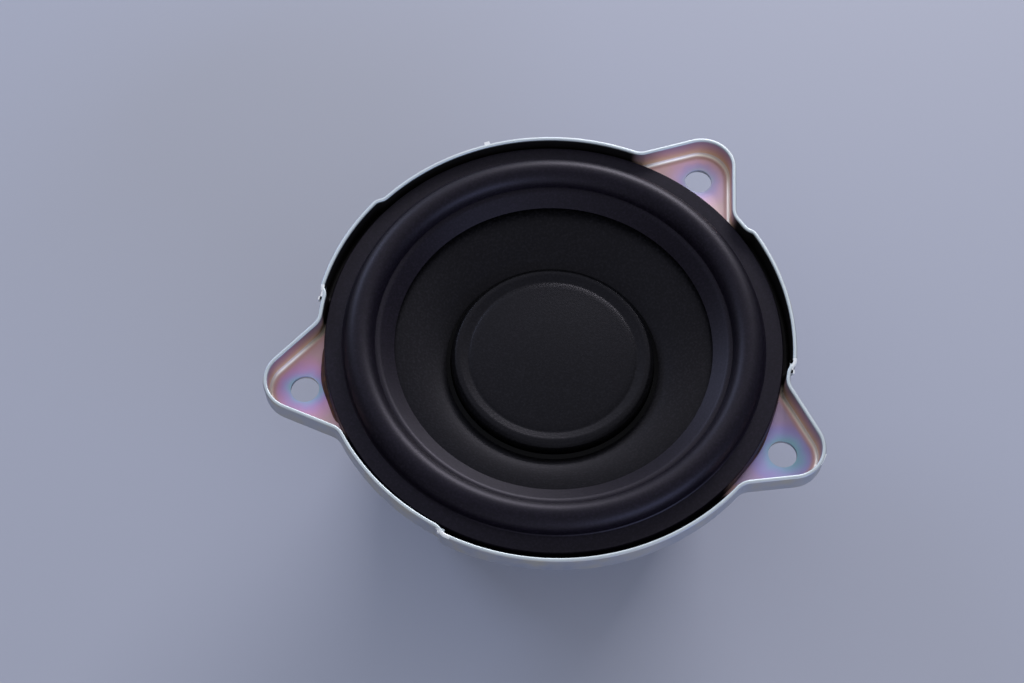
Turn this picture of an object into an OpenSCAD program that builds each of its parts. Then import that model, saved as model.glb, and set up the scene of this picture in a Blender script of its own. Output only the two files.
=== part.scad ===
// Loudspeaker of the hundred millimetre class for a car door.
// Millimetres. The origin is the centre of the magnet system's back face, +Z points out of the
// front, the single ear lies on -X and the pair of ears lies either side of +X.

/* [Surround and cone] */
// Diameter of the rubber surround across its moulded rim
surround_d = 94; // [92:0.5:98]
// Height of the rubber rim above the flange floor
rim_h = 3; // [2.4:0.1:4]
// Width of the rubber rim's flat top
rim_w = 3.6; // [3:0.1:4.2]
// Radius of the surround's half roll over its top
roll_r = 3.35; // [2.8:0.05:3.6]
// Thickness of the rubber in the roll
rubber_t = 0.6; // [0.4:0.05:0.9]
// Width of the rubber's land on the cone, from the crease
land_w = 3.8; // [3:0.1:5]
// Thickness of the paper cone
paper_t = 0.6; // [0.4:0.05:0.9]
// Diameter of the dust cap across its skirt
cap_d = 42.5; // [38:0.5:46]
// Height of the dust cap's skirt above the cone
cap_h = 3.75; // [3:0.05:5]
// Rise of the dust cap's middle above its raised band
cap_dome = 1; // [0.4:0.1:2.5]
// Thickness of the dust cap
cap_t = 0.5; // [0.3:0.05:0.8]

/* [Basket] */
// Thickness of the basket's steel sheet
sheet_t = 0.85; // [0.7:0.05:1]
// Height of the flange's underside above the back face
mount_depth = 39.15; // [37.5:0.5:44]
// Height of the lip above the flange floor
lip_h = 5.1; // [4:0.1:7]
// Outward lean of the lip from its foot to its top
lip_lean = 0.3; // [0.1:0.05:0.5]
// Gap between the rubber rim and the lip where the lip is drawn in
trench_w = 0.7; // [0.6:0.05:1]
// Step of the lip between its drawn in and its wide stretches
jog = 0.95; // [0.6:0.05:1.3]
// Radius of each bend of a jog, on the lip's outer face
jog_r = 2.6; // [2.5:0.05:3.2]
// Inner radius of the bend at the lip's foot
bend_r = 1; // [0.8:0.05:1.1]
// Width of each strut between two windows
strut_w = 7; // [5:0.5:10]
// Radius of the windows' corners
window_corner = 1.6; // [1:0.1:2.5]

/* [Ears] */
// Diameter of the circle through the three screw holes
hole_circle_d = 103.5; // [102:0.5:108]
// Angle of each paired ear from +X
ear_angle = 40; // [38:0.5:44]
// Diameter of the screw holes
hole_d = 5.8; // [4:0.1:6.4]
// Radius of an ear's nose
nose_r = 7.1; // [6.5:0.1:8]
// Distance of the nose's centre beyond the hole's centre
nose_out = 0.9; // [0:0.1:2]
// Angle between an ear's flank and its own centre line
flank_angle = 35; // [30:1:40]
// Radius of the hollow where an ear meets the ring
ear_fillet = 3.5; // [2.5:0.1:4.5]

/* [Motor] */
// Diameter of the ferrite ring
magnet_d = 70; // [67:0.5:76]
// Thickness of the ferrite ring
magnet_t = 8.8; // [8:0.1:10]
// Bore of the ferrite ring
magnet_bore = 32; // [30:0.5:38]
// Diameter of the front and back plates
plate_d = 66; // [60:0.5:66.5]
// Thickness of the front and back plates
plate_t = 4; // [3.5:0.1:4.5]
// Thickness of each adhesive film in the magnet system
film_t = 0.1; // [0.05:0.01:0.2]
// Inner diameter of the voice coil's former
coil_d = 25.4; // [24:0.1:26]
// Wall of the former
former_t = 0.2; // [0.1:0.02:0.3]
// Thickness of the two wound layers
winding_t = 0.48; // [0.3:0.02:0.6]
// Length of the winding
winding_h = 8; // [6:0.5:9]
// Clearance between pole and former
pole_gap = 0.35; // [0.3:0.05:0.5]
// Clearance between winding and front plate
plate_gap = 0.45; // [0.35:0.05:0.7]

/* [Spider and terminals] */
// Height of the spider's ledge above the front plate
ledge_h = 7; // [6.5:0.1:9]
// Outer radius of the spider
spider_r = 30.2; // [29:0.1:31]
// Thickness of the treated cloth
cloth_t = 0.35; // [0.25:0.05:0.5]
// Height of the corrugations from middle to crest
wave_h = 0.8; // [0.5:0.05:1]
// Number of corrugations
waves = 4; // [3:1:5]
// Thickness of the terminal board
board_t = 1.2; // [0.8:0.1:1.6]
// Width of the terminal board
board_w = 17; // [16:0.5:20]
// Depth of the terminal board from the wall outwards
board_l = 6; // [5.6:0.1:7]
// Width of the wide terminal blade
blade_wide = 4.8; // [4:0.1:5.4]
// Width of the narrow terminal blade
blade_narrow = 2.8; // [2:0.1:3.4]
// Thickness of the terminal blades
blade_t = 0.5; // [0.4:0.05:0.8]
// Free length of the terminal blades beyond the board
blade_l = 6.2; // [5:0.1:6.4]
// Diameter of the braided leads
lead_d = 1; // [0.8:0.1:1.2]

/* [Hidden] */
$fn = 96;
steel = [0.8, 0.82, 0.78];
iron = [0.62, 0.63, 0.62];
rubber = [0.14, 0.13, 0.16];
paper = [0.11, 0.11, 0.12];
amber = [0.5, 0.3, 0.14];
tin = [0.78, 0.78, 0.76];

// Heights, from the back face up
magnet_z = plate_t + film_t;
plate_z = magnet_z + magnet_t + film_t;
basket_z = plate_z + plate_t;
ledge_z = basket_z + ledge_h;
floor_z = mount_depth + sheet_t;
rim_z = floor_z + rim_h;

// Radii of the voice coil and of what runs beside it
former_r = coil_d / 2 + former_t;
collar_t = 0.14;
collar_r = former_r + collar_t;
pole_r = coil_d / 2 - pole_gap;
gap_r = former_r + winding_t + plate_gap;
neck_clear = 0.05;
neck_r = collar_r + neck_clear;

// The surround's roll, seen in section
rim_r = surround_d / 2;
roll_c = [rim_r - rim_w - 0.1 - roll_r, rim_z - 0.05];
crease_r = roll_c[0] - roll_r;
land_r = crease_r - land_w;

// The cone runs straight from the neck to the rubber's land
cone_neck_z = ledge_z + 1.2;
cone_edge_r = crease_r - 0.65;
cone_edge_z = rim_z - 0.6;
cone_slope = (cone_edge_z - cone_neck_z) / (cone_edge_r - neck_r);
cone_angle = atan(cone_slope);
function cone_z(r) = cone_neck_z + (r - neck_r) * cone_slope;
// Height of a line that lies a distance above the cone, square to it
function over_cone(r, d) = cone_z(r) + d / cos(cone_angle);

// The lip's path. Each arc is [centre, radius, from, to] on the outer face at the lip's top, and
// a radius below zero bends the other way, with its centre outside the basket.
lip_in_r = rim_r + trench_w + sheet_t;
lip_out_r = lip_in_r + jog;
hole_r = hole_circle_d / 2;
nose_c = hole_r + nose_out;
bend_out = bend_r + sheet_t;
jog_swing = acos((pow(lip_out_r - jog_r, 2) + pow(lip_in_r + jog_r, 2) - pow(2 * jog_r, 2))
    / (2 * (lip_out_r - jog_r) * (lip_in_r + jog_r)));
function polar(r, a) = [r * cos(a), r * sin(a)];
function heading(v) = atan2(v[1], v[0]);
function near(a, b) = b + ((a - b + 900) % 360) - 180;
// Half of a jog: the lip leaves the wide stretch at angle a and lies drawn in at angle b
function jog_out_c(a) = polar(lip_out_r - jog_r, a);
function jog_in_c(b) = polar(lip_in_r + jog_r, b);
function narrowing(a) = let (b = a + jog_swing, h = near(heading(jog_in_c(b) - jog_out_c(a)), a))
    [[jog_out_c(a), jog_r, a, h], [jog_in_c(b), -jog_r, h + 180, b + 180]];
function widening(b) = let (a = b + jog_swing, h = near(heading(jog_out_c(a) - jog_in_c(b)), b))
    [[jog_in_c(b), -jog_r, b + 180, h], [jog_out_c(a), jog_r, h - 180, a]];
// Where an ear's hollow meets the ring, as the angle from the ear's centre line
function hollow_c(ring) = let (n = [sin(flank_angle), cos(flank_angle)],
    d = [-cos(flank_angle), sin(flank_angle)], q = [nose_c, 0] + n * (nose_r + ear_fillet),
    h = q * d, s = -h - sqrt(h * h - q * q + pow(ring + ear_fillet, 2))) q + d * s;
function ear_reach(ring) = heading(hollow_c(ring));
function mirrored(p) = [p[0], -p[1]];
function turned(p, a) = [p[0] * cos(a) - p[1] * sin(a), p[0] * sin(a) + p[1] * cos(a)];
function ear(a, before, after) = let (b = ear_reach(before), c = ear_reach(after)) [
    [turned(mirrored(hollow_c(before)), a), -ear_fillet, a - b + 180, a + 90 + flank_angle],
    [polar(nose_c, a), nose_r, a - 90 + flank_angle, a + 90 - flank_angle],
    [turned(hollow_c(after), a), -ear_fillet, a + 270 - flank_angle, a + c + 180]];
// Angles at which the lip changes between its wide and its drawn in stretches
narrow_1 = 17.5;
widen_1 = 125.3;
narrow_2 = 154.8;
widen_2 = 228.8;
widen_3 = 337.8;
reach_in = ear_reach(lip_in_r);
reach_out = ear_reach(lip_out_r);
lip_path = concat(
    narrowing(narrow_1),
    [[[0, 0], lip_in_r, narrow_1 + jog_swing, ear_angle - reach_in]],
    ear(ear_angle, lip_in_r, lip_in_r),
    [[[0, 0], lip_in_r, ear_angle + reach_in, widen_1]],
    widening(widen_1),
    [[[0, 0], lip_out_r, widen_1 + jog_swing, narrow_2]],
    narrowing(narrow_2),
    [[[0, 0], lip_in_r, narrow_2 + jog_swing, 180 - reach_in]],
    ear(180, lip_in_r, lip_in_r),
    [[[0, 0], lip_in_r, 180 + reach_in, widen_2]],
    widening(widen_2),
    [[[0, 0], lip_out_r, widen_2 + jog_swing, 360 - ear_angle - reach_out]],
    ear(360 - ear_angle, lip_out_r, lip_in_r),
    [[[0, 0], lip_in_r, 360 - ear_angle + reach_in, widen_3]],
    widening(widen_3),
    [[[0, 0], lip_out_r, widen_3 + jog_swing, 360 + narrow_1]]);
function on_arc(arc, a, inset) = arc[0] + polar(abs(arc[1]) - sign(arc[1]) * inset, a);
function arc_start(arc, inset) = on_arc(arc, arc[2], inset);
function arc_end(arc, inset) = on_arc(arc, arc[3], inset);
function arc_steps(arc) = max(2, ceil(abs(arc[3] - arc[2]) / (abs(arc[1]) > 20 ? 5 : 15)));

// Sheet pieces: a line of points, rounded at its corners, with a thickness on its left
function unit(v) = v / norm(v);
function left_of(p, q) = let (v = unit(q - p)) [-v[1], v[0]];
function shifted(pts, d) = [for (i = [0 : len(pts) - 1]) let (
    a = left_of(pts[max(i - 1, 0)], pts[max(i, 1)]),
    b = left_of(pts[min(i, len(pts) - 2)], pts[min(i + 1, len(pts) - 1)]),
    m = a + b) pts[i] + m * (2 * d / (m * m))];
function softened(pts, r) = [for (i = [0 : len(pts) - 1])
    if (i == 0 || i == len(pts) - 1) pts[i]
    else let (u = unit(pts[i - 1] - pts[i]), v = unit(pts[i + 1] - pts[i]))
        each [for (t = [0 : 0.25 : 1])
            pts[i] + u * r * (1 - t) * (1 - t) + v * r * t * t]];
function reversed(pts) = [for (i = [len(pts) - 1 : -1 : 0]) pts[i]];
function arc_points(c, r, a, b, n) = [for (i = [0 : n]) c + polar(r, a + (b - a) * i / n)];
module sheet(pts, t) polygon(concat(pts, reversed(shifted(pts, t))));

// The lip's section from foot to foot: distance outwards from its outer face, height from the underside
bend_steps = 3;
lip_section = let (c = [-lip_lean - bend_out, bend_out]) concat(
    arc_points(c, bend_out, -90, 0, bend_steps),
    [[0, sheet_t + lip_h], [-sheet_t, sheet_t + lip_h]],
    arc_points(c, bend_r, 0, -90, bend_steps));
// The places along the path where the section is drawn, as [arc, angle]
lip_places = [for (i = [0 : len(lip_path) - 1]) let (arc = lip_path[i],
    next = lip_path[(i + 1) % len(lip_path)], n = arc_steps(arc),
    open = norm(arc_start(next, 0) - arc_end(arc, 0)) > 0.01)
    for (k = [0 : open ? n : n - 1]) [arc, arc[2] + (arc[3] - arc[2]) * k / n]];
function floor_point(place) = polar(floor_in_r, heading(on_arc(place[0], place[1], bend_out)));
function lip_ring(place) = concat([[each floor_point(place), mount_depth]],
    [for (p = lip_section) [each on_arc(place[0], place[1], -p[0]), mount_depth + p[1]]],
    [[each floor_point(place), floor_z]]);
// Flange floor, ears and lip in one sheet, swept round the whole path
module flange() difference() {
    n = len(lip_places);
    m = len(lip_section) + 2;
    polyhedron([for (place = lip_places) each lip_ring(place)],
        [for (i = [0 : n - 1], k = [0 : m - 1]) let (j = (i + 1) % n, l = (k + 1) % m) each [
            [i * m + k, i * m + l, j * m + l], [i * m + k, j * m + l, j * m + k]]]);
    for (a = [-ear_angle, ear_angle, 180]) translate([each polar(hole_r, a), mount_depth - 1])
        cylinder(d = hole_d, h = sheet_t + 2);
}
// Short stubs left on the lip's edge where the blank was cut from its strip, as [angle, width].
// A wide one is torn hollow between its two corners.
stubs = [[95, 1.2], [157.5, 3.2], [231, 1.2], [339.5, 3]];
stub_out = 0.6;
stub_tooth = 0.8;
module stub(w) {
    from = lip_in_r - sheet_t / 2;
    out = sheet_t / 2 + stub_out;
    h = sheet_t;
    translate([from, -w / 2, floor_z + lip_h - h]) difference() {
        cube([out, w, h]);
        if (w > 2 * stub_tooth) translate([out - stub_out / 2, stub_tooth, h / 3])
            cube([stub_out, w - 2 * stub_tooth, h]);
    }
}

// The bowl: flange, conical wall with windows, spider ledge, cup and bottom
floor_in_r = rim_r - 1.6;
wall_top_r = rim_r - rim_w + 0.4;
ledge_out_r = spider_r + 0.8;
ledge_in_r = spider_r - 4.6;
cup_r = ledge_in_r - 0.5;
bottom_in_r = gap_r + 4.2;
window_in_r = ledge_out_r + 2.2;
window_out_r = wall_top_r - 2.4;
window_turns = [0 : 60 : 300];
module bowl_section() sheet(softened([[floor_in_r + 0.3, floor_z], [wall_top_r, floor_z],
    [ledge_out_r, ledge_z], [ledge_in_r, ledge_z], [cup_r, basket_z + sheet_t],
    [bottom_in_r, basket_z + sheet_t]], bend_r), sheet_t);
module struts(w) for (a = window_turns) rotate([0, 0, a + 30])
    translate([0, -w / 2]) square([rim_r, w]);
module ring(inner, outer) difference() {
    circle(outer);
    circle(inner);
}
module windows() {
    c = window_corner;
    y = strut_w / 2 + c;
    difference() {
        ring(window_in_r + c, window_out_r - c);
        struts(strut_w);
    }
    difference() {
        ring(window_in_r, window_out_r);
        struts(2 * y);
    }
    for (a = window_turns, r = [window_in_r + c, window_out_r - c], side = [-1, 1])
        rotate([0, 0, a + 30]) translate([sqrt(r * r - y * y), side * y]) circle(c);
}
// Screw and rivet places shared by the pieces that they hold
fit_gap = 0.03;
rivet_r = 1.5;
rivet_head_r = 2.5;
rivet_circle_r = (bottom_in_r + cup_r) / 2 - 0.2;
rivet_depth = 2.5;
rivet_turns = [45 : 90 : 315];
// The terminal board stands on a tongue of the basket, outside the spider's ledge
board_x = ledge_out_r + 0.4;
tongue_w = 5.6;
notch_gap = 0.5;
tab_y = board_w / 2 - 3.2;
rivet_x = board_x + 3.8;
tab_rivet_r = 1;
tab_head_r = 1.6;
board_rivet_r = 1.1;
board_head_r = 1.8;
module basket() color(steel) {
    difference() {
        rotate_extrude() bowl_section();
        translate([0, 0, ledge_z + sheet_t]) linear_extrude(floor_z) windows();
        translate([board_x - notch_gap, -board_w / 2 - notch_gap, ledge_z])
            cube([board_l + notch_gap, board_w + 2 * notch_gap, board_t + 2]);
        for (a = rivet_turns) rotate([0, 0, a]) translate([rivet_circle_r, 0, basket_z - 1])
            cylinder(r = rivet_r + fit_gap, h = sheet_t + 2);
    }
    difference() {
        translate([ledge_out_r - 2, -tongue_w / 2, ledge_z - sheet_t])
            cube([board_x + board_l - 0.4 - ledge_out_r + 2, tongue_w, sheet_t]);
        translate([rivet_x, 0, ledge_z - sheet_t - 1])
            cylinder(r = board_rivet_r + fit_gap, h = sheet_t + 2);
    }
    flange();
    for (s = stubs) rotate([0, 0, s[0]]) stub(s[1]);
}

// A rivet's domed head, its flat side at height 0
module dome(r, h) {
    ball = (r * r + h * h) / (2 * h);
    rotate_extrude() intersection() {
        translate([0, h - ball]) circle(ball);
        square([r + 1, h + 1]);
    }
}
module basket_rivets() color(iron) for (a = rivet_turns) rotate([0, 0, a])
    translate([rivet_circle_r, 0, 0]) {
        translate([0, 0, basket_z - rivet_depth]) cylinder(r = rivet_r, h = rivet_depth + sheet_t);
        translate([0, 0, basket_z + sheet_t]) dome(rivet_head_r, 1);
    }

// The magnet system
spigot_r = 5;
chamfer = 1.2;
module back_plate() color(iron) rotate_extrude() polygon([[spigot_r + fit_gap, 0],
    [plate_d / 2 - chamfer, 0], [plate_d / 2, chamfer], [plate_d / 2, plate_t],
    [spigot_r + fit_gap, plate_t]]);
pole_top = basket_z + 0.5;
pole_chamfer = 0.6;
module pole_piece() color(iron) rotate_extrude() polygon([[0, 0], [spigot_r, 0],
    [spigot_r, plate_t], [pole_r, plate_t], [pole_r, pole_top - pole_chamfer],
    [pole_r - pole_chamfer, pole_top], [0, pole_top]]);
magnet_chamfer = 0.7;
module magnet() color([0.22, 0.22, 0.23]) rotate_extrude() {
    c = magnet_chamfer;
    i = magnet_bore / 2;
    o = magnet_d / 2;
    z = magnet_z;
    polygon([[i, z + c], [i + c, z], [o - c, z], [o, z + c], [o, z + magnet_t - c],
        [o - c, z + magnet_t], [i + c, z + magnet_t], [i, z + magnet_t - c]]);
}
// An adhesive film between a plate and the ferrite, with the bead that it leaves at the edge
bead = 0.7;
module film_section() {
    i = magnet_bore / 2 + 2;
    o = plate_d / 2 + 0.05;
    polygon([[i, 0], [o, 0], [o, -bead], [o + bead, film_t], [i, film_t]]);
}
module magnet_glue_back() color(amber) translate([0, 0, plate_t]) rotate_extrude()
    film_section();
module magnet_glue_front() color(amber) translate([0, 0, plate_z]) mirror([0, 0, 1])
    rotate_extrude() film_section();
module top_plate() color(iron) difference() {
    translate([0, 0, plate_z]) rotate_extrude() polygon([[gap_r, 0],
        [plate_d / 2, 0], [plate_d / 2, plate_t - chamfer / 2],
        [plate_d / 2 - chamfer / 2, plate_t], [gap_r, plate_t]]);
    for (a = rivet_turns) rotate([0, 0, a])
        translate([rivet_circle_r, 0, basket_z - rivet_depth - fit_gap])
            cylinder(r = rivet_r + fit_gap, h = rivet_depth + 1);
}

// The corrugated spider lies on the ledge and holds the coil at its neck
spider_gap = 0.15;
spider_in_r = collar_r + spider_gap;
wave_out_r = ledge_in_r - 0.4;
wave_in_r = spider_in_r + 1.5;
wave_steps = 12;
spider_z = ledge_z + 0.02;
neck_drop = 1;
module spider() color([0.72, 0.5, 0.22]) rotate_extrude() sheet(concat(
    [[spider_in_r + cloth_t, spider_z - neck_drop], [spider_in_r + cloth_t, spider_z],
        [wave_in_r, spider_z]],
    [for (i = [1 : waves * wave_steps]) let (s = i / (waves * wave_steps))
        [wave_in_r + (wave_out_r - wave_in_r) * s,
            spider_z + wave_h * sin(360 * waves * s)]],
    [[spider_r, spider_z]]), cloth_t);

// The moulded rubber surround: thick rim, half roll, and a land glued on the cone
seat_gap = 0.12;
rim_bulge = 0.25;
module surround() color(rubber) rotate_extrude() {
    land = softened([[land_r, over_cone(land_r, rubber_t + seat_gap)],
        [crease_r - 0.8, over_cone(crease_r - 0.8, rubber_t + seat_gap)],
        [crease_r, rim_z + 0.3]], 0.5);
    skin = concat(land, arc_points(roll_c, roll_r, 174, 4, 22));
    rim = [[rim_r - rim_w + 0.1, rim_z], [rim_r - 0.2, rim_z], [rim_r, rim_z - 0.2],
        [rim_r + rim_bulge, rim_z - rim_h + 0.8], [rim_r - 0.4, floor_z + 0.02 + film_t],
        [wall_top_r + 1, floor_z + 0.02 + film_t], [wall_top_r + 0.2, floor_z + 0.6],
        [rim_r - rim_w - 0.3, rim_z - 1.1]];
    polygon(concat(skin, rim, reversed(shifted(skin, -rubber_t))));
}
// The bonding line under the rim, squeezed out where the ears leave it in sight
squeeze_w = 1.2;
squeeze_turn = min(reach_in, reach_out) - 4.5;
module rim_adhesive() color(amber) translate([0, 0, floor_z + 0.01]) {
    rotate_extrude() translate([wall_top_r + 1.2, 0])
        square([rim_r - 0.6 - wall_top_r - 1.2, film_t]);
    for (a = [-ear_angle, ear_angle, 180]) rotate([0, 0, a - squeeze_turn])
        rotate_extrude(angle = 2 * squeeze_turn) polygon([[rim_r - 0.8, 0],
            [rim_r + squeeze_w + 0.3, 0], [rim_r + squeeze_w, 0.2],
            [rim_r + 0.3, 0.6], [rim_r - 0.35, film_t], [rim_r - 0.8, film_t]]);
}

// Paper cone with a short neck tube round the coil
neck_h = 0.8;
eyelet_r = 17.5;
eyelet_turn = 14;
eyelet_hole = 0.9;
// A flat flange on the cone's hollow side rides on its edges, this far up
eyelet_ride = 0.1;
module at_eyelets() for (side = [-1, 1]) rotate([0, 0, side * eyelet_turn])
    translate([eyelet_r, 0, cone_z(eyelet_r)]) rotate([0, -cone_angle, 0]) children();
module cone() color(paper) difference() {
    rotate_extrude() sheet([[cone_edge_r, cone_edge_z], [neck_r, cone_neck_z],
        [neck_r, cone_neck_z - neck_h]], paper_t);
    at_eyelets() translate([0, 0, -2]) cylinder(r = eyelet_hole + fit_gap, h = 4);
}
// The cap: a skirt on the cone, a raised band, a shallow groove and a low dome
cap_r = cap_d / 2;
cap_z = cone_z(cap_r) + cap_h;
band_w = 3.3;
module dust_cap() color(paper) rotate_extrude() {
    groove_r = cap_r - band_w;
    dome_r = groove_r - 0.9;
    dome_z = cap_z + 0.35;
    outer = concat(
        softened([[cap_r + 0.1, over_cone(cap_r, 0.08)], [cap_r, cap_z - 0.3],
            [cap_r - 0.9, cap_z + 0.45], [cap_r - 1.8, cap_z + 0.55], [groove_r, cap_z + 0.05],
            [dome_r, dome_z]], 0.3),
        [for (i = [1 : 10]) let (s = 1 - i / 10)
            [dome_r * s, dome_z + cap_dome * (1 - s * s)]]);
    intersection() {
        sheet(outer, cap_t);
        square([cap_r + 1, rim_z]);
    }
}
module cap_glue() color([0.08, 0.08, 0.09]) rotate_extrude() polygon([
    [cap_r + 0.2, over_cone(cap_r + 0.2, 0.03)], [cap_r + 1.1, over_cone(cap_r + 1.1, 0.03)],
    [cap_r + 0.2, over_cone(cap_r + 0.2, 0.03) + 1]]);

// The voice coil
former_z = plate_z - 3;
former_top = cone_neck_z + 0.9;
winding_z = plate_z + plate_t / 2 - winding_h / 2;
module tube(inner, outer, z, h) translate([0, 0, z]) rotate_extrude()
    translate([inner, 0]) square([outer - inner, h]);
module coil_former() color([0.75, 0.55, 0.2]) tube(coil_d / 2, former_r, former_z,
    former_top - former_z);
module coil_winding() color([0.72, 0.36, 0.16]) tube(former_r + 0.01, former_r + winding_t,
    winding_z, winding_h);
module coil_collar() color([0.55, 0.4, 0.25]) tube(former_r + 0.01, collar_r,
    winding_z + winding_h + 0.1, cone_neck_z - winding_z - winding_h);
neck_bead = 0.48;
function under_cone(r) = over_cone(r, -paper_t) - 0.03;
module neck_glue() color([0.2, 0.12, 0.06]) rotate_extrude() {
    r = neck_r + paper_t + 0.02;
    polygon([[r, under_cone(r)], [r, under_cone(r) - neck_bead],
        [r + neck_bead, under_cone(r + neck_bead)]]);
}
// The coil's two ends lie on the cone under the cap, from the former to the eyelets
wire_d = 0.3;
wire_start_r = neck_r + 0.3;
module coil_wires() color([0.72, 0.36, 0.16]) for (side = [-1, 1])
    rotate([0, 0, side * eyelet_turn]) translate([wire_start_r, 0,
        over_cone(wire_start_r, wire_d / 2 + 0.02)]) rotate([0, 90 - cone_angle, 0])
        cylinder(d = wire_d, h = (eyelet_r - wire_start_r) / cos(cone_angle) - 1.7, $fn = 16);
flange_r = 1.6;
flange_t = 0.2;
module lead_eyelets() color([0.8, 0.65, 0.3]) at_eyelets() rotate_extrude() {
    down = -paper_t - 0.02;
    polygon([[eyelet_hole - 0.35, down - flange_t], [flange_r, down - flange_t],
        [flange_r, down], [eyelet_hole, down], [eyelet_hole, eyelet_ride],
        [flange_r, eyelet_ride], [flange_r, eyelet_ride + flange_t],
        [eyelet_hole - 0.35, eyelet_ride + flange_t]]);
}
module lead_solder() color(tin) at_eyelets() {
    translate([0, 0, eyelet_ride + flange_t + 0.01]) dome(1.3, 0.6);
    translate([0, 0, -paper_t - flange_t - 0.03]) mirror([0, 0, 1]) dome(1.3, 0.9);
}

// Braided leads: each droops from its eyelet to its terminal, a tube swept along chosen points
lead_route = [[19.2, 4.6, 26.6], [20.5, 4.8, 26.2], [22.5, 5, 26.1], [24.5, 5.3, 26.5],
    [26.5, 5.5, 27.2], [28.5, 5.6, 27.7], [30.5, 5.5, 27.8], [32, 5.4, 27.4], [32.9, 5.3, 26.8]];
lead_lift = ledge_z - 24;
lead_sides = 8;
function lead_tangent(i) = unit(lead_route[min(i + 1, len(lead_route) - 1)]
    - lead_route[max(i - 1, 0)]);
function lead_ring(i) = let (t = lead_tangent(i), s = unit(cross([0, 0, 1], t)), u = cross(t, s))
    [for (k = [0 : lead_sides - 1]) lead_route[i] + [0, 0, lead_lift]
        + (s * cos(k * 360 / lead_sides) + u * sin(k * 360 / lead_sides)) * lead_d / 2];
module tinsel_lead() {
    n = len(lead_route);
    m = lead_sides;
    polyhedron([for (i = [0 : n - 1]) each lead_ring(i)], concat(
        [[for (k = [m - 1 : -1 : 0]) k]], [[for (k = [0 : m - 1]) (n - 1) * m + k]],
        [for (i = [0 : n - 2], k = [0 : m - 1]) each [
            [i * m + k, i * m + (k + 1) % m, (i + 1) * m + (k + 1) % m],
            [i * m + k, (i + 1) * m + (k + 1) % m, (i + 1) * m + k]]]));
}
module tinsel_lead_positive() color([0.7, 0.55, 0.4]) tinsel_lead();
module tinsel_lead_negative() color([0.7, 0.55, 0.4]) mirror([0, 1, 0]) tinsel_lead();

// Terminal board, its blades and rivets
module terminal_board() color([0.35, 0.2, 0.1]) difference() {
    translate([board_x, -board_w / 2, ledge_z + 0.01]) cube([board_l, board_w, board_t]);
    for (y = [-tab_y, tab_y]) translate([rivet_x, y, ledge_z - 1])
        cylinder(r = tab_rivet_r + fit_gap, h = board_t + 2);
    translate([rivet_x, 0, ledge_z - 1]) cylinder(r = board_rivet_r + fit_gap, h = board_t + 2);
}
blade_z = ledge_z + board_t + 0.02;
blade_foot = 4.4;
blade_hole_r = 0.7;
blade_hole_in = 2.4;
module blade(w) color(tin) translate([0, 0, blade_z]) linear_extrude(blade_t) difference() {
    end = board_x + board_l + blade_l;
    edge = board_x + board_l;
    f = blade_foot / 2;
    polygon([[board_x + 0.4, -f], [edge - 0.6, -f], [edge, -w / 2], [end - 0.8, -w / 2],
        [end, -w / 2 + 0.6], [end, w / 2 - 0.6], [end - 0.8, w / 2], [edge, w / 2],
        [edge - 0.6, f], [board_x + 0.4, f]]);
    translate([rivet_x, 0]) circle(tab_rivet_r + fit_gap);
    translate([end - blade_hole_in, 0]) circle(blade_hole_r);
}
module terminal_tab_positive() translate([0, tab_y, 0]) blade(blade_wide);
module terminal_tab_negative() translate([0, -tab_y, 0]) blade(blade_narrow);
module rivet(r, head, low, high) {
    translate([0, 0, low]) cylinder(r = r, h = high - low);
    translate([0, 0, high]) dome(head, 0.6);
    translate([0, 0, low]) mirror([0, 0, 1]) dome(head, 0.5);
}
module tab_rivets() color(tin) for (y = [-tab_y, tab_y]) translate([rivet_x, y, 0])
    rivet(tab_rivet_r, tab_head_r, ledge_z, blade_z + blade_t + 0.01);
module board_rivet() color(tin) translate([rivet_x, 0, 0])
    rivet(board_rivet_r, board_head_r, ledge_z - sheet_t - 0.01, ledge_z + board_t + 0.02);
// Solder at the blades' inner ends, where the leads come down
solder_r = 0.75;
module terminal_solder() color(tin) for (side = [-1, 1])
    translate([rivet_x - tab_head_r - solder_r - 0.05, side * tab_y, blade_z + blade_t + 0.01])
        dome(solder_r, 0.55);

basket();
basket_rivets();
back_plate();
pole_piece();
magnet();
magnet_glue_back();
magnet_glue_front();
top_plate();
spider();
surround();
rim_adhesive();
cone();
dust_cap();
cap_glue();
coil_former();
coil_winding();
coil_collar();
neck_glue();
coil_wires();
lead_eyelets();
lead_solder();
tinsel_lead_positive();
tinsel_lead_negative();
terminal_board();
terminal_tab_positive();
terminal_tab_negative();
tab_rivets();
board_rivet();
terminal_solder();
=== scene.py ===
from cmath import phase, rect
from math import acos, cos, degrees, hypot, pi, radians, sin, sqrt, tau

import bmesh
import bpy
import numpy as np
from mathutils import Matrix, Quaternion, Vector


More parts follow.
